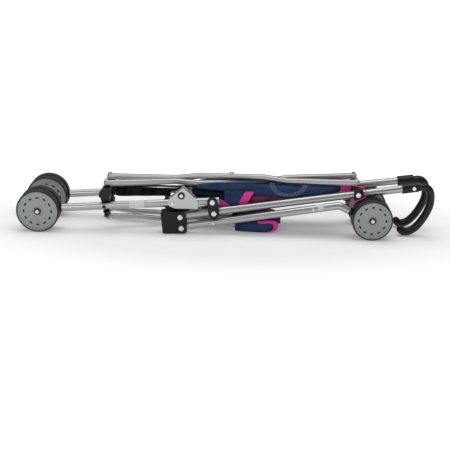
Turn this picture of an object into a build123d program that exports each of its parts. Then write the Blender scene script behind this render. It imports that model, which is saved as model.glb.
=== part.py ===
from build123d import *
from math import atan2, cos, degrees, hypot, radians, sin
import os

os.makedirs("parts", exist_ok=True)

# Folded stroller lying on its front. +X runs from the rear wheels to the handles, Z is up.
# Distances along X are given from the rear axle, which stands at x0.
x0 = -464.3

# Wheels
wheel_r = 53.0
front_wheel_r = 50.5
tyre_depth = 3.8
wheel_w = 20.0
pair_gap = 12.0
axle_r = 5.0
slot_ring_r = 34.0
slot_l = 7.8
slot_w = 4.2
slot_count = 12

# Side frames
tube_r = 9.5
frame_y = 62.4
rear_leg_rise = 0.0733
handle_rise = 0.1425
handle_toe = 0.0461
front_leg_rise = 0.167
front_leg_toe = 0.0078
front_stem_deg = -25.5
front_axle_x = 825.2
pin_r = 3.0
pin_gap = 0.05

# Pivots in the side view (distance from the rear axle, height)
leg_top = (429.7, 84.5)
link_low = (434.0, 56.1)
block_top = (350.7, 44.3)
block_low = (353.9, 16.0)
clevis_at = (162.5, 64.9)
clamp_at = (790.0, 106.9)

# Braces
top_left = (165.1, 115.2)
top_right = (786.0, 133.4)
low_left = (166.9, 30.0)
low_right = (487.0, 17.0)
pin_y = 33.25
bar_w = 16.4
bar_t = 14.6
low_bar_w = 14.0
low_bar_t = 11.0
joggle = 7.6
low_joggle = 5.8


def side(name):
    return -1.0 if name == "near" else 1.0


def stud(plane, r, h):
    """Round boss or pin standing on a plane."""
    with BuildPart(mode=Mode.PRIVATE) as piece:
        with BuildSketch(plane):
            Circle(r)
        extrude(amount=h)
    return piece.part


def cyl_y(x, z, y1, y2, r):
    """Round pin between two Y values."""
    base = Plane(origin=(x0 + x, max(y1, y2), z), x_dir=(1, 0, 0), z_dir=(0, -1, 0))
    return stud(base, r, abs(y2 - y1))


def rod(a, b, r):
    """Round bar between two points."""
    start = Vector(x0 + a[0], a[1], a[2])
    end = Vector(x0 + b[0], b[1], b[2])
    return stud(Plane(origin=start, z_dir=end - start), r, (end - start).length)


def plate(points, y1, y2, round_r=0.0):
    """Side-view outline extruded between two Y values."""
    base = Plane(origin=(x0, max(y1, y2), 0), x_dir=(1, 0, 0), z_dir=(0, -1, 0))
    with BuildPart(mode=Mode.PRIVATE) as piece:
        with BuildSketch(base):
            with BuildLine():
                Polyline(*points, close=True)
            make_face()
        extrude(amount=abs(y2 - y1))
        if round_r > 0:
            fillet(piece.edges().filter_by(Axis.Y), round_r)
    return piece.part


def dome(x, z, y, out, r, h):
    """Low domed screw head standing out of a face at y."""
    with BuildPart(mode=Mode.PRIVATE) as piece:
        with BuildSketch(Plane(origin=(x0 + x, y, z), x_dir=(1, 0, 0), z_dir=(0, out, 0))):
            Circle(r)
        extrude(amount=h)
        rim = piece.edges().filter_by(GeomType.CIRCLE).sort_by(Axis.Y)
        fillet(rim[-1] if out > 0 else rim[0], h * 0.8)
    return piece.part


def save(shape, label):
    shape.label = label
    export_step(shape, "parts/" + label + ".step")


def handle_y(x):
    return frame_y - (x - block_top[0]) * handle_toe


def handle_z(x):
    return block_top[1] + (x - block_top[0]) * handle_rise


def front_y(x):
    return frame_y - (x - block_low[0]) * front_leg_toe


def front_z(x):
    return block_low[1] + (x - block_low[0]) * front_leg_rise


def leg_z(x):
    return axle_z + x * rear_leg_rise


front_axle_y = front_y(740.0)
axle_z = wheel_r
top_up = Vector(top_left[1] - top_right[1], 0, top_right[0] - top_left[0]).normalized()
low_up = Vector(low_left[1] - low_right[1], 0, low_right[0] - low_left[0]).normalized()


# Wheel pair: two flat grey discs with a ring of small slots, and their black tyres
def add_disc(x, y_mid, out, r):
    base = Plane(origin=(x0 + x, y_mid, r), x_dir=(1, 0, 0), z_dir=(0, out, 0))
    rim_r = r - tyre_depth
    half = wheel_w / 2
    with BuildPart(mode=Mode.PRIVATE) as disc:
        with BuildSketch(base.offset(-half + 1.0)):
            Circle(rim_r)
            Circle(axle_r + pin_gap, mode=Mode.SUBTRACT)
            with PolarLocations(slot_ring_r, slot_count):
                Rectangle(slot_w, slot_l, mode=Mode.SUBTRACT)
        extrude(amount=wheel_w - 2.5)
        with BuildSketch(base.offset(half - 2.5)):
            Circle(rim_r - 3.6)
            Circle(10.5, mode=Mode.SUBTRACT)
        extrude(amount=3.0, mode=Mode.SUBTRACT)
    add(disc.part)


def add_tyre(x, y_mid, out, r):
    base = Plane(origin=(x0 + x, y_mid, r), x_dir=(1, 0, 0), z_dir=(0, out, 0))
    with BuildPart(mode=Mode.PRIVATE) as tyre:
        with BuildSketch(base.offset(-wheel_w / 2)):
            Circle(r)
            Circle(r - tyre_depth, mode=Mode.SUBTRACT)
        extrude(amount=wheel_w)
        outer = tyre.edges().filter_by(GeomType.CIRCLE).filter_by(lambda e: e.radius > r - 1)
        fillet(outer, 3.0)
    add(tyre.part)


def build_wheel_pair(label, x, y_mid, out, r):
    shift = (wheel_w + pair_gap) / 2
    with BuildPart() as discs:
        add_disc(x, y_mid + out * shift, out, r)
        add_disc(x, y_mid - out * shift, -out, r)
    save(discs.part, label + "_discs")
    with BuildPart() as tyres:
        add_tyre(x, y_mid + out * shift, out, r)
        add_tyre(x, y_mid - out * shift, -out, r)
    save(tyres.part, label + "_tyres")


# Axle with a bright cap at each end
def build_axle(label, x, y_mid, z):
    half = wheel_w + pair_gap / 2 + 0.6
    with BuildPart() as axle:
        add(cyl_y(x, z, y_mid - half, y_mid + half, axle_r))
        for out in (-1.0, 1.0):
            add(dome(x, z, y_mid + out * half, out, 5.4, 3.2))
    save(axle.part, label)


for name in ("near", "far"):
    s = side(name)
    build_wheel_pair(name + "_rear_wheel", 0.0, s * frame_y, s, wheel_r)
    build_wheel_pair(name + "_front_wheel", front_axle_x, s * front_axle_y, s, front_wheel_r)
    build_axle(name + "_rear_axle", 0.0, s * frame_y, wheel_r)
    build_axle(name + "_front_axle", front_axle_x, s * front_axle_y, front_wheel_r)


# Rear leg: straight tube, with a flat plastic knuckle that fits between the two wheels
def build_rear_leg(name):
    s = side(name)
    y = s * frame_y
    with BuildPart() as leg:
        add(rod((57.0, y, leg_z(57.0)), (446.0, y, leg_z(446.0)), tube_r))
        add(cyl_y(leg_top[0], leg_top[1], y - 12, y + 12, pin_r + pin_gap), mode=Mode.SUBTRACT)
        add(cyl_y(clevis_at[0], clevis_at[1], y - 12, y + 12, pin_r + pin_gap), mode=Mode.SUBTRACT)
    save(leg.part, name + "_rear_leg")
    end_x = 57.0
    top = leg_z(end_x) + 9.0
    low = leg_z(end_x) - 9.0
    shape = [(-9.5, axle_z - 6), (-6, axle_z - 9.5), (8, axle_z - 9.8), (end_x - 1.2, low), (end_x - 1.2, top),
             (8, axle_z + 11), (-6, axle_z + 9.5), (-9.5, axle_z + 6)]
    with BuildPart() as knuckle:
        add(plate(shape, y - 4.8, y + 4.8, 1.5))
        add(cyl_y(0, axle_z, y - 6, y + 6, axle_r + pin_gap), mode=Mode.SUBTRACT)
    save(knuckle.part, name + "_rear_knuckle")


# Leg bracket: pressed steel plates on the leg, bright rivet and a dark bush
def build_leg_plate(name):
    s = side(name)
    outline = [(357, 119.5), (386.9, 93.5), (394.8, 80), (394.8, 66.5), (338.0, 66.5), (322.5, 72), (321.5, 88)]
    out1 = s * (frame_y + tube_r + 0.4)
    out2 = s * (frame_y + tube_r + 2.4)
    in1 = s * (frame_y - tube_r - 0.4)
    in2 = s * (frame_y - tube_r - 2.4)
    with BuildPart() as plates:
        add(plate(outline, out1, out2, 4.0))
        add(plate(outline, in1, in2, 4.0))
        add(plate([(358, 119), (385, 94.5), (383.5, 93), (356.5, 117.3)], in2, out2))
        add(cyl_y(353.2, 99.4, in1, out1, 5.0))
    save(plates.part, name + "_leg_plate")
    with BuildPart() as fixings:
        add(dome(353.2, 99.4, out2 + s * 2.6, s, 5.0, 2.2))
        add(dome(331.2, leg_z(331.2), out2 + s * 0.05, s, 5.4, 1.9))
    save(fixings.part, name + "_plate_screws")
    with BuildPart() as bush:
        add(cyl_y(353.2, 99.4, out2 + s * 0.05, out2 + s * 2.55, 8.8))
        add(cyl_y(353.2, 99.4, in1 + s * 0.1, out1 - s * 0.1, 8.2))
        add(cyl_y(353.2, 99.4, in1, out1, 5.0), mode=Mode.SUBTRACT)
    save(bush.part, name + "_plate_bush")


# Upper clevis: plastic fitting that straddles the leg and carries the top brace
def build_upper_clevis(name):
    s = side(name)
    y = s * frame_y
    inner = s * 24.0
    outer = s * (frame_y + 7.0)
    cheek = y - s * (tube_r + 0.4)
    with BuildPart() as clevis:
        add(plate([(154, 56), (171, 56), (176, 66), (176, 94), (154, 93)], cheek, cheek - s * 4.0, 2.0))
        add(plate([(154, 79), (176, 80), (176, 106.6), (154, 106.0)], inner, outer, 2.5))
        add(plate([(149, 86), (156, 86), (156, 98), (149, 98)], inner + s * 12, outer - s * 4, 1.5))
        pin = Plane(origin=(x0 + top_left[0], s * pin_y, top_left[1]), z_dir=top_up)
        add(stud(pin.offset(-12.0), 7.5, 12.0 - bar_t / 2 - 0.25))
        if name == "near":
            add(stud(pin.offset(-12.0), pin_r, 12.0 + bar_t / 2 - 0.3))
        add(cyl_y(clevis_at[0], clevis_at[1], cheek - s * 1.0, y + s * 10.8, pin_r))
        add(dome(clevis_at[0], clevis_at[1], y + s * (tube_r + 0.2), s, 4.6, 2.0))
    save(clevis.part, name + "_upper_clevis")


# Lower clevis: second fitting on the same screw, outside the first one's cheeks
def build_lower_clevis(name):
    s = side(name)
    y = s * frame_y
    in_cheek = y - s * (tube_r + 8.0)
    with BuildPart() as clevis:
        cheek = [(162.7, 38.5), (173, 38.5), (173, 49.5), (170, 50.4), (162.7, 50.4)]
        add(plate(cheek, s * 26.0, y + s * 9.0))
        add(plate([(157, 42), (169, 42), (169, 72), (157, 72)], in_cheek, in_cheek + s * 3.2, 2.0))
        pin = Plane(origin=(x0 + low_left[0], s * pin_y, low_left[1]), z_dir=low_up * -1)
        add(stud(pin.offset(-12.0), 6.5, 12.0 - low_bar_t / 2 - 0.25))
        if name == "near":
            add(stud(pin.offset(-12.0), pin_r, 12.0 + low_bar_t / 2 - 0.3))
    save(clevis.part, name + "_lower_clevis")


# Flat-oval brace bar, stepped up or down at the middle so the two can cross
def build_bar(label, left, right, start_side, w, t, step, start_bore):
    length = hypot(hypot(right[0] - left[0], right[1] - left[1]), 2 * pin_y)
    run = Vector(right[0] - left[0], -2 * start_side * pin_y, right[1] - left[1]).normalized()
    across = Vector(0, 1, 0)
    up = run.cross(across).normalized()
    origin = Vector(x0 + left[0], start_side * pin_y, left[1])
    frame = Plane(origin=origin, x_dir=run, z_dir=up)
    half = length / 2
    soft = t * 0.42
    mid = Plane(origin=frame.origin + frame.x_dir * half, x_dir=frame.x_dir, z_dir=frame.z_dir)
    flat = w / (4 * pin_y / length) + 4.0
    ramp_l = flat + 60.0
    ramp = [(0, 0), (half - ramp_l, 0), (half - flat, step), (half + flat, step), (half + ramp_l, 0), (length, 0)]
    outline = [(px, pz + t / 2) for px, pz in ramp] + [(px, pz - t / 2) for px, pz in reversed(ramp)]
    side_face = Plane(origin=frame.origin + frame.y_dir * (w / 2), x_dir=frame.x_dir, z_dir=-frame.y_dir)
    with BuildPart() as bar:
        with BuildSketch(side_face):
            with BuildLine():
                Polyline(*outline, close=True)
            make_face()
        extrude(amount=w)
        long_edges = [e for e in bar.edges() if e.length > 25 and abs((e % 0.5).dot(frame.y_dir)) < 0.1]
        fillet(long_edges, soft)
        for d in (0.0, length):
            with BuildPart(mode=Mode.PRIVATE) as cap:
                with BuildSketch(Plane(origin=frame.origin + frame.x_dir * d, x_dir=frame.x_dir, z_dir=up).offset(-t / 2)):
                    Circle(w / 2)
                extrude(amount=t)
                fillet(cap.edges().filter_by(GeomType.CIRCLE), soft)
            add(cap.part)
        if start_bore:
            add(stud(frame.offset(-t), pin_r + pin_gap, 2 * t), mode=Mode.SUBTRACT)
        add(stud(mid.offset(-3 * t), pin_r + pin_gap, 6 * t), mode=Mode.SUBTRACT)
    save(bar.part, label)
    return frame, mid, length


build_rear_leg("near")
build_rear_leg("far")
build_leg_plate("near")
for name in ("near", "far"):
    build_upper_clevis(name)
    build_lower_clevis(name)

top_near = build_bar("near_top_brace", top_left, top_right, -1.0, bar_w, bar_t, -joggle, True)
top_far = build_bar("far_top_brace", top_left, top_right, 1.0, bar_w, bar_t, joggle, False)
low_near = build_bar("near_low_brace", low_left, low_right, -1.0, low_bar_w, low_bar_t, -low_joggle, True)
low_far = build_bar("far_low_brace", low_left, low_right, 1.0, low_bar_w, low_bar_t, low_joggle, False)


# Rivets: one at each end of every brace and a long one through both at the crossing
def build_rivets(label, frames, t, step, head_side):
    for tag, item in zip(("near", "far"), frames):
        frame, mid, length = item
        with BuildPart() as rivets:
            for d in (0.0, length):
                at = Plane(origin=frame.origin + frame.x_dir * d, x_dir=frame.x_dir, z_dir=frame.z_dir * head_side)
                add(stud(at.offset(t / 2 + 0.05), 5.6, 2.4))
            if tag == "near":
                add(stud(mid.offset(-step - t / 2 - 0.6), pin_r, 2 * step + t + 1.6))
                add(stud(mid.offset(step + t / 2 + 0.4), 6.0, 2.6))
                add(stud(mid.offset(-step - t / 2 - 2.4), 5.0, 2.2))
        save(rivets.part, tag + label + "_rivets")


build_rivets("_top", (top_near, top_far), bar_t, joggle, 1)
build_rivets("_low", (low_near, low_far), low_bar_t, low_joggle, -1)


# Link between the top of the rear leg and the handle tube
def build_link(name):
    s = side(name)
    y_in = s * (frame_y + tube_r + 0.6)
    y_out = s * (frame_y + tube_r + 5.0)
    mid = ((leg_top[0] + link_low[0]) / 2, (leg_top[1] + link_low[1]) / 2)
    tilt = degrees(atan2(link_low[0] - leg_top[0], leg_top[1] - link_low[1]))
    gap = hypot(leg_top[0] - link_low[0], leg_top[1] - link_low[1])
    with BuildPart() as link:
        pl = Plane(origin=(x0 + mid[0], y_in, mid[1]), x_dir=(1, 0, 0), z_dir=(0, s, 0))
        with BuildSketch(pl):
            with Locations(Location((0, 0, 0), (0, 0, 90 + (tilt if s < 0 else -tilt)))):
                SlotCenterToCenter(gap, 26.5)
        extrude(amount=4.4)
        face = link.faces().sort_by(Axis.Y)
        rim = face[0] if s < 0 else face[-1]
        fillet(rim.edges(), 1.2)
        for at in (leg_top, link_low):
            add(cyl_y(at[0], at[1], y_in + s, s * (frame_y - tube_r - 1.0), pin_r))
    save(link.part, name + "_link")
    with BuildPart() as screws:
        for at in (leg_top, link_low):
            add(dome(at[0], at[1], y_out + s * 0.05, s, 7.0, 2.6))
    save(screws.part, name + "_link_screws")


# Handle tube with its brace clamp
def build_handle_tube(name):
    s = side(name)
    end = 903.0
    with BuildPart() as tube:
        add(rod((343.0, s * handle_y(343), handle_z(343)), (end, s * handle_y(end), handle_z(end)), tube_r))
        for at in (link_low, block_top):
            add(cyl_y(at[0], at[1], s * (frame_y - 14), s * (frame_y + 12), pin_r + pin_gap), mode=Mode.SUBTRACT)
    save(tube.part, name + "_handle_tube")
    yc = s * handle_y(clamp_at[0])
    outline = [(781, 95.0), (791, 96.0), (801, 101.5), (803, 104), (803, 116), (797, 123.0), (779, 122.5), (779, 98)]
    with BuildPart() as clamp:
        add(plate(outline, s * 25.5, yc + s * 13.0, 2.0))
        hole = rod((770.0, s * handle_y(770), handle_z(770)), (812.0, s * handle_y(812), handle_z(812)), tube_r)
        add(hole, mode=Mode.SUBTRACT)
    save(clamp.part, name + "_handle_clamp")
    with BuildPart() as screws:
        add(dome(clamp_at[0], clamp_at[1], yc + s * 13.05, s, 6.8, 2.4))
        add(dome(927.0, handle_z(927.0), s * (handle_y(927.0) + 13.1), s, 5.2, 2.4))
    save(screws.part, name + "_handle_screws")


# Hooked grip
def build_grip(name):
    s = side(name)
    y = s * handle_y(930.0)
    path_points = [(932, 123.5), (944, 127.8), (957, 127.5), (968.5, 117), (972, 101), (971.4, 84), (964, 61),
                   (952.5, 39.5), (938, 21.5), (924, 12.5), (911, 11.2), (902.5, 17.5)]
    wire = Spline(*[(x0 + p[0], y, p[1]) for p in path_points])
    with BuildPart() as grip:
        with BuildSketch(Plane(origin=wire @ 0, z_dir=wire % 0)):
            Ellipse(9.8, 11.2)
        sweep(path=wire)
        sleeve = rod((898.5, s * handle_y(898.5), handle_z(898.5)), (938.5, s * handle_y(938.5), handle_z(938.5)), 12.6)
        add(sleeve)
        hole = rod((897.0, s * handle_y(897), handle_z(897)), (903.0, s * handle_y(903), handle_z(903)), tube_r)
        add(hole, mode=Mode.SUBTRACT)
        with Locations(wire @ 1):
            Sphere(9.4)
    save(grip.part, name + "_grip")


# Folding block: two cheeks and a web, open between the tubes
def build_block(name):
    s = side(name)
    y = s * frame_y
    outline = [(304.5, 57.0), (361.5, 57.3), (364.5, 54.5), (368.6, 8.0), (363, 2.6), (311, 1.0), (307.6, 4.5), (302.4, 54.0)]
    with BuildPart() as block:
        for a in (-1.0, 1.0):
            add(plate(outline, y + a * 11.2, y + a * 14.8))
        add(plate([(304.5, 56), (325, 56), (329, 3), (310, 2.2)], y - 11.4, y + 11.4))
        for at in (block_top, block_low):
            add(cyl_y(at[0], at[1], y - 12, y + 12, pin_r))
    save(block.part, name + "_fold_block")
    with BuildPart() as screws:
        for at in (block_top, block_low):
            add(dome(at[0], at[1], y + s * 14.85, s, 7.0, 2.6))
    save(screws.part, name + "_block_screws")


# Front leg with its bent lower end
def build_front_leg(name):
    s = side(name)
    knee = (744.0, front_z(744.0))
    stem = (cos(radians(front_stem_deg)), sin(radians(front_stem_deg)))
    end = (knee[0] + 27.0 * stem[0], knee[1] + 27.0 * stem[1])
    first = (345.5, front_z(345.5))
    with BuildPart() as leg:
        with BuildLine() as path:
            pts = [(x0 + p[0], s * front_y(min(p[0], 740.0)), p[1]) for p in (first, knee, end)]
            FilletPolyline(*pts, radius=22.0)
        with BuildSketch(Plane(origin=path.line @ 0, z_dir=path.line % 0)):
            Circle(tube_r)
        sweep()
        add(cyl_y(block_low[0], block_low[1], s * (frame_y - 14), s * (frame_y + 12), pin_r + pin_gap), mode=Mode.SUBTRACT)
    save(leg.part, name + "_front_leg")
    with BuildPart() as lug:
        gx = low_right[0]
        add(plate([(gx - 2, 26.5), (gx + 3, 26.5), (gx + 6, 36), (gx + 8, 46), (gx - 9, 43), (gx - 9, 34)],
                  s * 26.0, s * 46.0, 2.0))
        add(plate([(gx - 8, 35.0), (gx + 12, 36), (gx + 12, 45), (gx - 8, 42)], s * 45.0, s * (front_y(gx) - 2.0)))
        gap = rod((460.0, s * front_y(460), front_z(460)), (515.0, s * front_y(515), front_z(515)), tube_r + 0.1)
        add(gap, mode=Mode.SUBTRACT)
    save(lug.part, name + "_brace_lug")
    with BuildPart() as screws:
        for at in ((433.2, 31.0), (679.4, front_z(679.4))):
            add(dome(at[0], front_z(at[0]), s * (front_y(at[0]) + tube_r + 0.05), s, 4.2, 2.2))
    save(screws.part, name + "_leg_screws")


# Caster: swivel neck with a thin blade between the two front wheels
def build_caster(name):
    s = side(name)
    y = s * front_axle_y
    stem = (cos(radians(front_stem_deg)), sin(radians(front_stem_deg)))
    knee = (744.0, front_z(744.0))
    top = (knee[0] + 27.4 * stem[0], knee[1] + 27.4 * stem[1])
    z = front_wheel_r
    shape = [(top[0] + 4, top[1] + 7), (top[0] - 3, top[1] - 7), (812, z - 9), (820, z - 11), (832, z - 9.5), (837, z),
             (832, z + 9.5), (815, z + 13)]
    with BuildPart() as caster:
        add(rod((top[0], y, top[1]), (top[0] + 3.4 * stem[0], y, top[1] + 3.4 * stem[1]), 9.3))
        add(plate(shape, y - 4.8, y + 4.8, 1.5))
        add(cyl_y(front_axle_x, z, y - 6, y + 6, axle_r), mode=Mode.SUBTRACT)
    save(caster.part, name + "_caster")


for name in ("near", "far"):
    build_link(name)
    build_handle_tube(name)
    build_grip(name)
    build_block(name)
    build_front_leg(name)
    build_caster(name)


# Folded seat fabric, stacked between the handle tubes under the top brace
with BuildPart() as seat:
    add(plate([(378, 74), (500, 84), (640, 92), (758, 106), (758, 121), (700, 117), (600, 107), (470, 104.8), (384, 102.5)], -29.0, 29.0, 4.0))
save(seat.part, "seat_fabric")

# Black cloth strap gathered along the inside of the far rear leg
with BuildPart() as strap:
    add(plate([(179, 60), (250, 62), (318, 63), (318, 84), (250, 83), (179, 82)], 44.5, 52.3, 3.0))
save(strap.part, "seat_strap")

# Footrest pad hanging between the front legs
with BuildPart() as pad:
    add(plate([(517.5, 1.2), (578, 1.2), (594, 10), (596, 22), (588, 33), (540, 34), (517.5, 32)], -47.0, 47.0, 4.0))
save(pad.part, "foot_pad")
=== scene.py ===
import math

import bpy
from mathutils import Matrix, Vector
from mathutils.bvhtree import BVHTree
from mathutils.noise import noise


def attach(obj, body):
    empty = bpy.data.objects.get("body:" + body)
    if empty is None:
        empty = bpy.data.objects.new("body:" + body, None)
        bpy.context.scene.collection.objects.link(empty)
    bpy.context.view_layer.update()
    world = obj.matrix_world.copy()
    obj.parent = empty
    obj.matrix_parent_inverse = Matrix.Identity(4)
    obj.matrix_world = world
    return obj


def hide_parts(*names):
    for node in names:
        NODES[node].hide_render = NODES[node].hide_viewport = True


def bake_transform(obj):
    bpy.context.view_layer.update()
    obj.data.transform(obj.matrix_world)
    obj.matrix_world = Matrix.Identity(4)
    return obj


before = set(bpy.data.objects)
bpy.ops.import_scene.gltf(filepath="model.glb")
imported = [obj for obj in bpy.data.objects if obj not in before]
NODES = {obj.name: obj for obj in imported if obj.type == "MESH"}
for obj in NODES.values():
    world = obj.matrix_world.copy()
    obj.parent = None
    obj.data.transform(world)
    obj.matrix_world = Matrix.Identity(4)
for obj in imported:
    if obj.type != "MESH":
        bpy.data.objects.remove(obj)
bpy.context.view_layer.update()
MM = 0.001
AXLE_X = -464.3  # rear axle, mm along X from the middle of the folded stroller
FRONT_AXLE = 825.2  # mm from the rear axle
REAR_WHEEL_R = 53.0
FRONT_WHEEL_R = 50.5
FRAME_Y = 62.4  # centre line of each side frame, mm from the middle plane
BLOCK_X = 353.9  # lower screw of the fold block, mm from the rear axle
BLOCK_Z = 16.0
FRONT_LEG_RISE = 0.167
FRONT_LEG_TOE = 0.0078
CASTER_X = 740.0  # bend of the front leg, mm from the rear axle


# ---------------------------------------------------------------- shared helpers
def v(x, y, z):
    """Point given in millimetres."""
    return Vector((x * MM, y * MM, z * MM))


def leg_z(x):
    """Height of a rear leg's centre line, mm, at x mm."""
    return REAR_WHEEL_R + (x - AXLE_X) * 0.0733


def front_leg_z(x):
    """Height of a front leg's centre line, mm, at x mm."""
    return BLOCK_Z + (x - AXLE_X - BLOCK_X) * FRONT_LEG_RISE


def interp(table, x):
    """Smooth value from a table of (x, value) pairs."""
    if x <= table[0][0]:
        return table[0][1]
    for (xa, va), (xb, vb) in zip(table, table[1:]):
        if x <= xb:
            t = (x - xa) / (xb - xa)
            t = t * t * (3 - 2 * t)
            return va + (vb - va) * t
    return table[-1][1]


def new_mesh(name, verts, faces, material, smooth=True):
    mesh = bpy.data.meshes.new(name)
    mesh.from_pydata([tuple(p) for p in verts], [], faces)
    mesh.update()
    if smooth:
        mesh.polygons.foreach_set("use_smooth", [True] * len(mesh.polygons))
    obj = bpy.data.objects.new(name, mesh)
    bpy.context.scene.collection.objects.link(obj)
    mesh.materials.append(material)
    return obj


def apply_modifiers(obj):
    """Turns the modified shape into the object's own mesh."""
    deps = bpy.context.evaluated_depsgraph_get()
    mesh = bpy.data.meshes.new_from_object(obj.evaluated_get(deps))
    obj.modifiers.clear()
    obj.data = mesh


def thicken(obj, thickness):
    """Gives a single-layer cloth its thickness in mm."""
    obj.modifiers.new("thick", "SOLIDIFY").thickness = thickness * MM
    apply_modifiers(obj)


def grid_faces(rows, columns):
    """Quads over a grid with one more point than cells each way."""
    n = columns + 1
    return [(i * n + k, i * n + k + 1, (i + 1) * n + k + 1, (i + 1) * n + k)
            for i in range(rows) for k in range(columns)]


def tube_mesh(name, path, radius, material, sides=12, closed=False):
    """Round tube along points given in mm."""
    pts = [Vector(p) for p in path]
    n = len(pts)
    verts, faces = [], []
    side = Vector((0, 1, 0))
    for i, p in enumerate(pts):
        a = pts[(i - 1) % n] if closed or i > 0 else p
        b = pts[(i + 1) % n] if closed or i < n - 1 else p
        run = (b - a).normalized()
        if abs(run.dot(side)) > 0.9:
            side = Vector((0, 0, 1))
        side = (side - run * side.dot(run)).normalized()
        up = run.cross(side)
        for k in range(sides):
            t = 2 * math.pi * k / sides
            verts.append((p + (side * math.cos(t) + up * math.sin(t)) * radius) * MM)
    rings = n if closed else n - 1
    for i in range(rings):
        j = (i + 1) % n
        for k in range(sides):
            m = (k + 1) % sides
            faces.append((i * sides + k, i * sides + m, j * sides + m, j * sides + k))
    if not closed:
        faces.append(tuple(range(sides - 1, -1, -1)))
        faces.append(tuple((n - 1) * sides + k for k in range(sides)))
    return new_mesh(name, verts, faces, material)


def smooth_path(points, steps=8):
    """Catmull-Rom curve through points in mm."""
    pts = [Vector(p) for p in points]
    ext = [pts[0] * 2 - pts[1]] + pts + [pts[-1] * 2 - pts[-2]]
    out = []
    for i in range(1, len(ext) - 2):
        a, b, c, d = ext[i - 1], ext[i], ext[i + 1], ext[i + 2]
        for s in range(steps):
            t = s / steps
            square = (2 * a - 5 * b + 4 * c - d) * t * t
            cube = (3 * b - a - 3 * c + d) * t ** 3
            out.append(0.5 * ((2 * b) + (c - a) * t + square + cube))
    out.append(pts[-1])
    return out


def lathe_y(name, centre, profile, material, steps=96):
    """Ring turned about Y from (radius, y) points in mm, closed on itself."""
    verts, faces = [], []
    n = len(profile)
    for i in range(steps):
        a = 2 * math.pi * i / steps
        for r, y in profile:
            verts.append(v(centre[0] + r * math.cos(a), centre[1] + y, centre[2] + r * math.sin(a)))
    for i in range(steps):
        j = (i + 1) % steps
        for k in range(n):
            m = (k + 1) % n
            faces.append((i * n + k, i * n + m, j * n + m, j * n + k))
    return new_mesh(name, verts, faces, material)


def principled(name, colour, rough, metal=0.0, **extra):
    material = bpy.data.materials.new(name)
    material.use_nodes = True
    shader = material.node_tree.nodes["Principled BSDF"]
    shader.inputs["Base Color"].default_value = (*colour, 1.0)
    shader.inputs["Roughness"].default_value = rough
    shader.inputs["Metallic"].default_value = metal
    for key, value in extra.items():
        shader.inputs[key.replace("_", " ")].default_value = value
    return material


def add_bump(material, scale, strength, distance, detail=2.0, stretch=(1, 1, 1)):
    """Fine surface grain from object-space noise."""
    tree = material.node_tree
    coord = tree.nodes.new("ShaderNodeTexCoord")
    mapping = tree.nodes.new("ShaderNodeMapping")
    mapping.inputs["Scale"].default_value = stretch
    grain = tree.nodes.new("ShaderNodeTexNoise")
    grain.inputs["Scale"].default_value = scale
    grain.inputs["Detail"].default_value = detail
    bump = tree.nodes.new("ShaderNodeBump")
    bump.inputs["Strength"].default_value = strength
    bump.inputs["Distance"].default_value = distance
    tree.links.new(coord.outputs["Object"], mapping.inputs["Vector"])
    tree.links.new(mapping.outputs["Vector"], grain.inputs["Vector"])
    tree.links.new(grain.outputs["Fac"], bump.inputs["Height"])
    tree.links.new(bump.outputs["Normal"], material.node_tree.nodes["Principled BSDF"].inputs["Normal"])
    return grain


def add_colour_noise(material, dark, light, scale, low=0.35, high=0.65):
    """Slow change between two colours over the surface."""
    tree = material.node_tree
    coord = tree.nodes.new("ShaderNodeTexCoord")
    cloud = tree.nodes.new("ShaderNodeTexNoise")
    cloud.inputs["Scale"].default_value = scale
    ramp = tree.nodes.new("ShaderNodeValToRGB")
    ramp.color_ramp.elements[0].position = low
    ramp.color_ramp.elements[0].color = (*dark, 1.0)
    ramp.color_ramp.elements[1].position = high
    ramp.color_ramp.elements[1].color = (*light, 1.0)
    tree.links.new(coord.outputs["Object"], cloud.inputs["Vector"])
    tree.links.new(cloud.outputs["Fac"], ramp.inputs["Fac"])
    tree.links.new(ramp.outputs["Color"], tree.nodes["Principled BSDF"].inputs["Base Color"])


def weave(material, pitch, strength):
    """Woven look: two crossed sets of fine ribs as a bump."""
    tree = material.node_tree
    coord = tree.nodes.new("ShaderNodeTexCoord")
    waves = []
    for direction in ("X", "Z"):
        wave = tree.nodes.new("ShaderNodeTexWave")
        wave.bands_direction = direction
        wave.inputs["Scale"].default_value = pitch
        tree.links.new(coord.outputs["Object"], wave.inputs["Vector"])
        waves.append(wave)
    both = tree.nodes.new("ShaderNodeMath")
    both.operation = "MULTIPLY"
    tree.links.new(waves[0].outputs["Fac"], both.inputs[0])
    tree.links.new(waves[1].outputs["Fac"], both.inputs[1])
    bump = tree.nodes.new("ShaderNodeBump")
    bump.inputs["Strength"].default_value = strength
    bump.inputs["Distance"].default_value = 0.0006
    tree.links.new(both.outputs["Value"], bump.inputs["Height"])
    tree.links.new(bump.outputs["Normal"], tree.nodes["Principled BSDF"].inputs["Normal"])


def paint(material, *names):
    """Gives CAD nodes a finish."""
    for name in names:
        obj = NODES[name]
        for index in range(len(obj.material_slots)):
            obj.material_slots[index].material = material


def both_sides(*names):
    return [side + "_" + name for side in ("near", "far") for name in names]


# ---------------------------------------------------------------- frame tubes
# Round aluminium tube, 19 mm, drawn lengthwise so the grain runs along it, and duller
# flattened tube for the four braces.
alloy = principled("tube_alloy", (0.42, 0.425, 0.43), 0.33, 1.0)
add_bump(alloy, 900.0, 0.06, 0.0004, stretch=(0.02, 1, 1))
paint(alloy, *both_sides("rear_leg", "handle_tube", "front_leg"))
brace_alloy = principled("brace_alloy", (0.43, 0.432, 0.43), 0.42, 1.0)
paint(brace_alloy, *both_sides("top_brace", "low_brace"))

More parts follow.
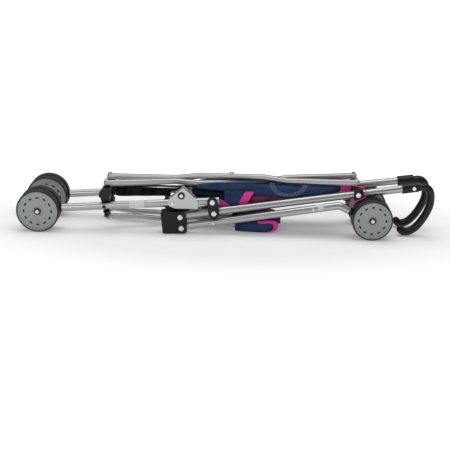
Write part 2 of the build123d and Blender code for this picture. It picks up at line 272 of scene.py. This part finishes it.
# ---------------------------------------------------------------- plastic fittings and screws
# Black moulded nylon brackets with bright domed screws and rivets, and one pressed steel plate
# on the near rear leg.
black = principled("black_plastic", (0.005, 0.005, 0.006), 0.45, Specular_IOR_Level=0.3)
add_bump(black, 2200.0, 0.12, 0.0002)
paint(black, *both_sides("link", "fold_block", "handle_clamp", "upper_clevis", "lower_clevis", "brace_lug",
                         "caster", "rear_knuckle"), "near_plate_bush")
bright = principled("bright_steel", (0.66, 0.66, 0.67), 0.24, 1.0)
paint(bright, *both_sides("link_screws", "block_screws", "handle_screws", "leg_screws",
                          "top_rivets", "low_rivets", "rear_axle", "front_axle"), "near_plate_screws")
plate_steel = principled("plate_steel", (0.52, 0.53, 0.54), 0.42, 0.85)
add_bump(plate_steel, 300.0, 0.08, 0.0004)
paint(plate_steel, "near_leg_plate")

# ---------------------------------------------------------------- grips
# Hooked grips in soft black plastic, with a fine moulded grain and a soft sheen.
grip_black = principled("grip_black", (0.004, 0.004, 0.005), 0.36, Specular_IOR_Level=0.35)
add_bump(grip_black, 1500.0, 0.10, 0.0002)
paint(grip_black, *both_sides("grip"))

# ---------------------------------------------------------------- wheels
# Grey-green moulded discs with a ring of small slots, thin black tyres, a pale ring just inside
# the tyre that is a painted highlight on the rim's edge, and a dark hub round the axle's bright cap.
wheel_grey = principled("wheel_grey", (0.300, 0.322, 0.312), 0.46)
add_bump(wheel_grey, 700.0, 0.10, 0.0003)
tyre_black = principled("tyre_black", (0.008, 0.008, 0.008), 0.55)
add_bump(tyre_black, 500.0, 0.25, 0.0004)
# Pale grey ring just inside the tyre: a painted highlight on the rim's edge.
rim_highlight = principled("rim_highlight", (0.40, 0.42, 0.41), 0.35)
hub_black = principled("hub_black", (0.012, 0.012, 0.012), 0.4)
paint(wheel_grey, *both_sides("rear_wheel_discs", "front_wheel_discs"))
paint(tyre_black, *both_sides("rear_wheel_tyres", "front_wheel_tyres"))
DISC_FACE = 24.5  # outer face of each disc, mm from the middle of its pair


def wheel_trim(side, end, x, y_mid, r):
    """Pale ring of painted rim highlight and hub boss on the outer face of each disc of one pair."""
    body = side + "_" + end + "_wheels"
    away = 1.0 if side == "far" else -1.0
    for place, y_sign in (("outer", away), ("inner", -away)):
        y = y_mid + y_sign * DISC_FACE
        lip = y_sign
        profile = [(r - 5.4, 0), (r - 4.0, 0), (r - 4.0, lip * 0.9), (r - 4.7, lip * 1.3),
                   (r - 5.4, lip * 0.9)]
        ring = lathe_y(f"{side}_{end}_{place}_ring", (x, y, r), profile, rim_highlight)
        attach(ring, body)
        hub_profile = [(5.7, 0), (9.2, 0), (8.4, lip * 1.8), (5.7, lip * 1.8)]
        hub = lathe_y(f"{side}_{end}_{place}_hub", (x, y, r), hub_profile, hub_black, 48)
        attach(hub, body)


for side_name, sign in (("near", -1.0), ("far", 1.0)):
    wheel_trim(side_name, "rear", AXLE_X, sign * FRAME_Y, REAR_WHEEL_R)
    front_y = sign * (FRAME_Y - (CASTER_X - BLOCK_X) * FRONT_LEG_TOE)
    wheel_trim(side_name, "front", AXLE_X + FRONT_AXLE, front_y, FRONT_WHEEL_R)


# ---------------------------------------------------------------- blank labels
# Two plain white stickers wrapped round the near tubes; they carry no print.
label_white = principled("label_white", (0.62, 0.62, 0.62), 0.5)
LABEL_R = 9.7  # just outside the 9.5 mm tube


def wrapped_label(name, x1, x2, y, centre_z, a1, a2, body):
    """Sticker round a tube from x1 to x2 mm and between two angles in degrees."""
    verts, faces = [], []
    steps = 18
    for x in (x1, x2):
        for i in range(steps + 1):
            a = math.radians(a1 + (a2 - a1) * i / steps)
            verts.append(v(x, y + LABEL_R * math.cos(a), centre_z(x) + LABEL_R * math.sin(a)))
    for i in range(steps):
        faces.append((i, i + 1, steps + 2 + i, steps + 1 + i))
    label = new_mesh(name, verts, faces, label_white)
    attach(label, body)
    return label


wrapped_label("leg_label", -240.0, -203.0, -FRAME_Y, leg_z, 60, 260, "near_leg")
wrapped_label("small_label", 221.0, 240.0, -59.6, front_leg_z, 80, 200, "near_front_leg")

# ---------------------------------------------------------------- folded seat bundle
# Navy polyester seat, pushed together sideways between the handle tubes and creased lengthwise,
# with its folds underneath in painted shade, dark red lining under it and pink binding at the handle end.
navy = principled("navy_fabric", (0.022, 0.045, 0.110), 0.85, Specular_IOR_Level=0.2)
add_colour_noise(navy, (0.014, 0.034, 0.088), (0.027, 0.056, 0.130), 26.0)
weave(navy, 700.0, 0.35)
band_blue = principled("band_blue", (0.05, 0.085, 0.15), 0.85, Sheen_Weight=0.15, Sheen_Roughness=0.5)
add_colour_noise(band_blue, (0.024, 0.048, 0.100), (0.080, 0.120, 0.190), 420.0, 0.42, 0.58)
pink = principled("pink_binding", (0.72, 0.020, 0.30), 0.6, Sheen_Weight=0.3, Sheen_Roughness=0.4)
weave(pink, 900.0, 0.3)
# Near-black copy of the seat navy: painted shade for the folds under the bundle.
painted_shade_navy = principled("painted_shade_navy", (0.004, 0.010, 0.020), 0.9, Specular_IOR_Level=0.15)
weave(painted_shade_navy, 700.0, 0.3)
burgundy = principled("burgundy_lining", (0.115, 0.012, 0.050), 0.75, Sheen_Weight=0.3,
                      Sheen_Roughness=0.5)
add_colour_noise(burgundy, (0.07, 0.008, 0.03), (0.20, 0.02, 0.085), 40.0)

# Top, bottom and half-width of the bundle, and how far its top dips under the braces: (x, mm) pairs.
TOP = [(-92, 111), (-60, 119), (-20, 129), (30, 134), (80, 132), (131, 129), (181, 127), (231, 126),
       (289, 126)]
LOW = [(-92, 103), (-20, 100), (5, 97), (43, 95), (88, 88), (145, 84), (207, 88), (289, 101)]
WIDE = [(-92, 16), (-60, 28), (-10, 37), (60, 39), (150, 40), (220, 37), (289, 29)]
FLAT = [(-100, 0), (400, 0)]
DIP = [(-92, 4), (-50, 16), (-10, 26), (60, 28), (120, 22), (180, 10), (240, 5), (289, 4)]


def bundle(name, x1, x2, top, low, wide, material, folds, amount, seed, dip):
    """Closed soft roll along X; folds are lengthwise creases, dip keeps its top under the braces."""
    stations, around = 96, 84
    verts, faces = [], []
    for i in range(stations + 1):
        x = x1 + (x2 - x1) * i / stations
        z_top, z_low, half = interp(top, x), interp(low, x), interp(wide, x)
        mid, high = (z_top + z_low) / 2, (z_top - z_low) / 2
        end = min(1.0, (i + 2) / 7, (stations - i + 2) / 7) ** 0.5
        for k in range(around):
            a = 2 * math.pi * k / around
            c, s = math.cos(a), math.sin(a)
            y = half * math.copysign(abs(c) ** 0.62, c) * end
            z = mid + high * math.copysign(abs(s) ** 0.62, s) * (0.45 + 0.55 * end)
            crease = noise(Vector((x * 0.012 + seed, k * folds / around * 2.2, seed)))
            fine = noise(Vector((x * 0.045, y * 0.09 + seed, z * 0.09)))
            push = amount * (crease + 0.45 * fine)
            if z > mid:
                z -= interp(dip, x) * max(0.0, 1 - (y / (half * 0.90 + 0.01)) ** 4)
            verts.append(v(x, y + push * c * 0.9, z + push * s * 0.55))
    for i in range(stations):
        for k in range(around):
            m = (k + 1) % around
            faces.append((i * around + k, i * around + m, (i + 1) * around + m, (i + 1) * around + k))
    faces.append(tuple(range(around)))
    faces.append(tuple(stations * around + k for k in reversed(range(around))))
    return new_mesh(name, verts, faces, material)


seat = bundle("seat_bundle", -92, 289, TOP, LOW, WIDE, navy, 9, 3.6, 3.1, DIP)
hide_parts("seat_fabric")
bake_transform(seat)

lining = bundle("seat_lining", 12, 296, [(12, 96), (150, 100), (296, 118)],
                [(12, 70), (60, 66), (150, 76), (296, 104)], [(12, 26), (100, 35), (200, 31), (296, 22)],
                burgundy, 7, 3.6, 8.4, FLAT)
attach(lining, "near_handle")

# The fold under the bundle is coloured in the near-black navy of painted shade.
under_fold = bundle("seat_under_fold", -88, 66, [(-88, 101), (66, 103)],
                    [(-88, 77), (-20, 71), (66, 72)], [(-88, 30), (-30, 39), (66, 40)],
                    painted_shade_navy, 8, 3.4, 5.5, FLAT)
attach(under_fold, "near_handle")
under_lining = bundle("seat_under_lining", -62, 112, [(-62, 49), (112, 58)],
                      [(-62, 39), (112, 46)], [(-62, 20), (112, 21)], burgundy, 6, 2.0, 6.6, FLAT)
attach(under_lining, "near_handle")

seat_tree = BVHTree.FromPolygons([p.co.copy() for p in seat.data.vertices],
                                 [tuple(f.vertices) for f in seat.data.polygons])


def on_seat(x, z, lift):
    """Point on the near face of the bundle at x, z mm, stood off by lift mm."""
    hit = seat_tree.ray_cast(v(x, -90, z), Vector((0, 1, 0)))[0]
    y = hit.y / MM if hit is not None else -34.0
    return v(x, y - lift, z)


def arc_band():
    """Lighter textured band in a U shape on the near face."""
    verts = []
    across, along = 6, 44
    for i in range(along + 1):
        a = math.radians(184 + 172 * i / along)
        for k in range(across + 1):
            r = 0.72 + 0.28 * k / across
            x = 153 + 48.5 * r * math.cos(a)
            z = 128.5 + 35.0 * r * math.sin(a)
            z = min(z, interp(TOP, x) - 3.5)
            verts.append(on_seat(x, z, 0.8))
    cloth = new_mesh("seat_arc_band", verts, grid_faces(along, across), band_blue)
    thicken(cloth, 1.0)
    return cloth


band = arc_band()
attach(band, "near_handle")


def hanging_panel(name, corners, material, ripple, thick, seed):
    """Four-cornered cloth (top left, top right, low right, low left), mm, with soft ripples."""
    a, b, c, d = [Vector(p) for p in corners]
    n = 22
    verts = []
    for i in range(n + 1):
        for k in range(n + 1):
            s, t = i / n, k / n
            p = a.lerp(b, s).lerp(d.lerp(c, s), t)
            p.y += ripple * noise(Vector((s * 3 + seed, t * 1.3, seed)))
            verts.append(p * MM)
    cloth = new_mesh(name, verts, grid_faces(n, n), material)
    thicken(cloth, thick)
    return cloth


# Loose side panel, a pink webbing strap and a pink tab beside the near handle tube.
flap = hanging_panel("seat_side_panel", [(-6, -43, 108), (42, -43, 107), (43, -44, 76), (-4, -45, 71)],
                     navy, 5.0, 1.6, 2.0)
strap = hanging_panel("pink_strap", [(45, -45, 106), (68, -45, 106), (52, -45, 76), (30, -45.5, 73)],
                      pink, 2.0, 1.8, 5.0)
tab = hanging_panel("pink_tab_a", [(-24, -46, 87), (-12, -46, 84), (8, -46.5, 69), (-18, -46.5, 67)],
                    pink, 0.8, 1.2, 7.0)
for piece, flat_size in ((flap, (0.049, 0.035)), (strap, (0.024, 0.035)), (tab, (0.023, 0.020))):
    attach(piece, "near_handle")

# Pink binding folded round the handle end of the bundle, and its loose loop by the clamp.
binding = bundle("seat_binding", 284, 311, [(284, 127), (311, 127)], [(284, 103), (311, 106)],
                 [(284, 28), (311, 24)], pink, 6, 2.4, 1.7, FLAT)
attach(binding, "near_handle")
loop_path = [(311, -33, 126), (326, -50, 129), (338, -58.5, 126), (344, -58, 113), (340, -57, 103),
             (328, -55, 96), (312, -53, 89), (300, -48, 88)]
piping = tube_mesh("pink_piping", smooth_path(loop_path), 1.3, pink, 10)
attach(piping, "near_handle")

# ---------------------------------------------------------------- black cloth strap
# Black webbing and mesh gathered beside the far rear leg, with a tail running up into the seat.
black_cloth = principled("black_cloth", (0.006, 0.006, 0.007), 0.85, Specular_IOR_Level=0.25)
add_colour_noise(black_cloth, (0.003, 0.003, 0.004), (0.022, 0.018, 0.020), 60.0)
strap_cloth = bundle("strap_cloth", -287, -145, [(-287, 82), (-215, 84), (-145, 83.5)],
                     [(-287, 59), (-215, 62), (-145, 63)], [(-287, 4.2), (-145, 4.2)],
                     black_cloth, 16, 3.2, 9.1, FLAT)
strap_cloth.data.transform(Matrix.Translation(v(0, 48.0, 0)))
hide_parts("seat_strap")
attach(strap_cloth, "far_leg")
for index, (low_z, high_z, radius) in enumerate(((70, 84, 3.4), (79, 92, 2.6))):
    tail_path = [(-290, 42, high_z - 8), (-240, 41, high_z - 4), (-190, 41, high_z - 1),
                 (-140, 40, low_z + 12), (-95, 34, 95)]
    tail = tube_mesh(f"strap_tail_{index + 1}", smooth_path(tail_path), radius, black_cloth, 10)
    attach(tail, "far_leg")

# ---------------------------------------------------------------- foot pad
# Navy foot pad folded under the front legs, burgundy inside, with wide pink binding round its
# rounded end. The outline below is its side view, (x, z) in mm.
PAD_EDGE = [(21, 4), (60, 1.6), (104, 1.2), (122, 6), (131, 16), (131, 27), (124, 34), (100, 34.5),
            (70, 31), (40, 27), (24, 23)]
PAD_HALF_Y = 47.5


def foot_pad():
    """Closed pad across the frame; returns it with the points of its side outline."""
    loop = [(x, 0, z) for x, z in PAD_EDGE + PAD_EDGE[:1]]
    edge = [Vector((p.x, 0, p.z)) for p in smooth_path(loop, 5)][:-1]
    n = len(edge)
    centre = Vector((78, 0, 17))
    stations = 28
    verts, faces = [], []
    for i in range(stations + 1):
        t = -1 + 2 * i / stations
        shrink = (1 - abs(t) ** 5) ** 0.35 if abs(t) < 1 else 0.0
        shrink = max(shrink, 0.97)
        for p in edge:
            q = centre + (p - centre) * shrink
            if abs(t) < 0.93 and q.x < 33:
                q.x = 33
            wave = noise(Vector((q.x * 0.03, t * 2.4, q.z * 0.06)))
            q.z = max(1.0, q.z + 2.2 * wave * (1 if q.z > 10 else 0.2))
            verts.append(v(q.x, PAD_HALF_Y * t, q.z))
    for i in range(stations):
        for k in range(n):
            m = (k + 1) % n
            faces.append((i * n + k, (i + 1) * n + k, (i + 1) * n + m, i * n + m))
    faces.append(tuple(range(n)))
    faces.append(tuple(stations * n + k for k in reversed(range(n))))
    return new_mesh("foot_pad_cover", verts, faces, navy), edge


pad, pad_edge = foot_pad()
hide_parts("foot_pad")
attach(pad, "near_front_leg")
BINDING_OUT, BINDING_IN = 0.03, 0.34  # share of the way from the pad's edge to BINDING_CENTRE
BINDING_CENTRE = Vector((96, 0, 9))
edge_run = [p for p in pad_edge if p.x > 104 or (p.x > 72 and p.z > 20)]
rim_faces = [(2 * i, 2 * i + 1, 2 * i + 3, 2 * i + 2) for i in range(len(edge_run) - 1)]
for y_at, tag in ((-PAD_HALF_Y - 0.3, "near"), (PAD_HALF_Y + 0.3, "far")):
    rim_verts = []
    for p in edge_run:
        inward = BINDING_CENTRE - p
        outer_z = max(1.6, p.z + inward.z * BINDING_OUT)
        rim_verts.append(v(p.x + inward.x * BINDING_OUT, y_at, outer_z))
        rim_verts.append(v(p.x + inward.x * BINDING_IN, y_at, p.z + inward.z * BINDING_IN))
    trim = new_mesh(f"{tag}_pad_binding", rim_verts, rim_faces, pink)
    thicken(trim, 1.0)
    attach(trim, "near_front_leg")
tuck = bundle("pad_lining", 108, 138, [(108, 37), (138, 37)], [(108, 18), (138, 17)],
              [(108, 38), (138, 34)], burgundy, 5, 2.0, 4.4, FLAT)
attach(tuck, "near_front_leg")

# ---------------------------------------------------------------- floor and light
# Seamless white studio floor, lit by a wide overhead panel. Its own glow is low round the stroller,
# so that soft shadows show, and rises further out to a clean white.
floor_mat = bpy.data.materials.new("studio_white")
floor_mat.use_nodes = True
tree = floor_mat.node_tree
tree.nodes.clear()
glow = tree.nodes.new("ShaderNodeEmission")
glow.inputs["Color"].default_value = (1, 1, 1, 1)
place_coord = tree.nodes.new("ShaderNodeTexCoord")
spread = tree.nodes.new("ShaderNodeMapping")
spread.inputs["Scale"].default_value = (1.15, 2.2, 1.0)
reach = tree.nodes.new("ShaderNodeVectorMath")
reach.operation = "LENGTH"
fade = tree.nodes.new("ShaderNodeMapRange")
fade.inputs["From Min"].default_value = 0.5
fade.inputs["From Max"].default_value = 1.6
fade.inputs["To Min"].default_value = 0.19
fade.inputs["To Max"].default_value = 0.80
tree.links.new(place_coord.outputs["Object"], spread.inputs["Vector"])
tree.links.new(spread.outputs["Vector"], reach.inputs[0])
tree.links.new(reach.outputs["Value"], fade.inputs["Value"])
tree.links.new(fade.outputs["Result"], glow.inputs["Strength"])
matte = tree.nodes.new("ShaderNodeBsdfDiffuse")
matte.inputs["Color"].default_value = (0.80, 0.80, 0.80, 1)
total = tree.nodes.new("ShaderNodeAddShader")
out = tree.nodes.new("ShaderNodeOutputMaterial")
tree.links.new(glow.outputs[0], total.inputs[0])
tree.links.new(matte.outputs[0], total.inputs[1])
tree.links.new(total.outputs[0], out.inputs["Surface"])
floor_corners = [(-30, -30, 0), (30, -30, 0), (30, 60, 0), (-30, 60, 0)]
floor = new_mesh("studio_floor", floor_corners, [(0, 1, 2, 3)], floor_mat, False)
floor.location.z = -0.0002

world = bpy.data.worlds.new("studio")
bpy.context.scene.world = world
world.use_nodes = True
world.node_tree.nodes["Background"].inputs["Color"].default_value = (1, 1, 1, 1)
world.node_tree.nodes["Background"].inputs["Strength"].default_value = 0.30


def area_light(name, place, target, size, power):
    data = bpy.data.lights.new(name, "AREA")
    data.shape = "RECTANGLE"
    data.size, data.size_y = size
    data.energy = power
    obj = bpy.data.objects.new(name, data)
    bpy.context.scene.collection.objects.link(obj)
    obj.location = place
    obj.rotation_euler = (Vector(target) - Vector(place)).to_track_quat("-Z", "Y").to_euler()
    return obj


area_light("overhead", (0.1, 0.2, 2.2), (0, 0, 0), (3.0, 1.8), 32)
area_light("front_fill", (-1.2, -2.4, 1.4), (0, 0, 0.05), (1.2, 0.8), 14)

# ---------------------------------------------------------------- camera
# Slightly raised view, square on to the near side, from about 2.4 m.
ELEVATION, YAW, ROLL = 17.98, 0.36, 1.49
FOCAL_PER_WIDTH = 972.6 / 450.0
camera_data = bpy.data.cameras.new("camera")
camera = bpy.data.objects.new("camera", camera_data)
bpy.context.scene.collection.objects.link(camera)
bpy.context.scene.camera = camera
camera_data.sensor_width = 36.0
camera_data.lens = 36.0 * FOCAL_PER_WIDTH
camera_data.clip_end = 100.0
e, psi, rho = (math.radians(a) for a in (ELEVATION, YAW, ROLL))
ahead = Vector((-math.sin(psi) * math.cos(e), math.cos(psi) * math.cos(e), -math.sin(e)))
right = Vector((math.cos(psi), math.sin(psi), 0))
up = right.cross(ahead)
tilted_right = right * math.cos(rho) + up * math.sin(rho)
tilted_up = up * math.cos(rho) - right * math.sin(rho)
place = v(476.7 + AXLE_X, -2366.0, 771.0)
camera.matrix_world = Matrix((
    (tilted_right.x, tilted_up.x, -ahead.x, place.x),
    (tilted_right.y, tilted_up.y, -ahead.y, place.y),
    (tilted_right.z, tilted_up.z, -ahead.z, place.z),
    (0, 0, 0, 1),
))
bpy.context.scene.view_settings.view_transform = "Standard"
bpy.context.scene.view_settings.look = "None"
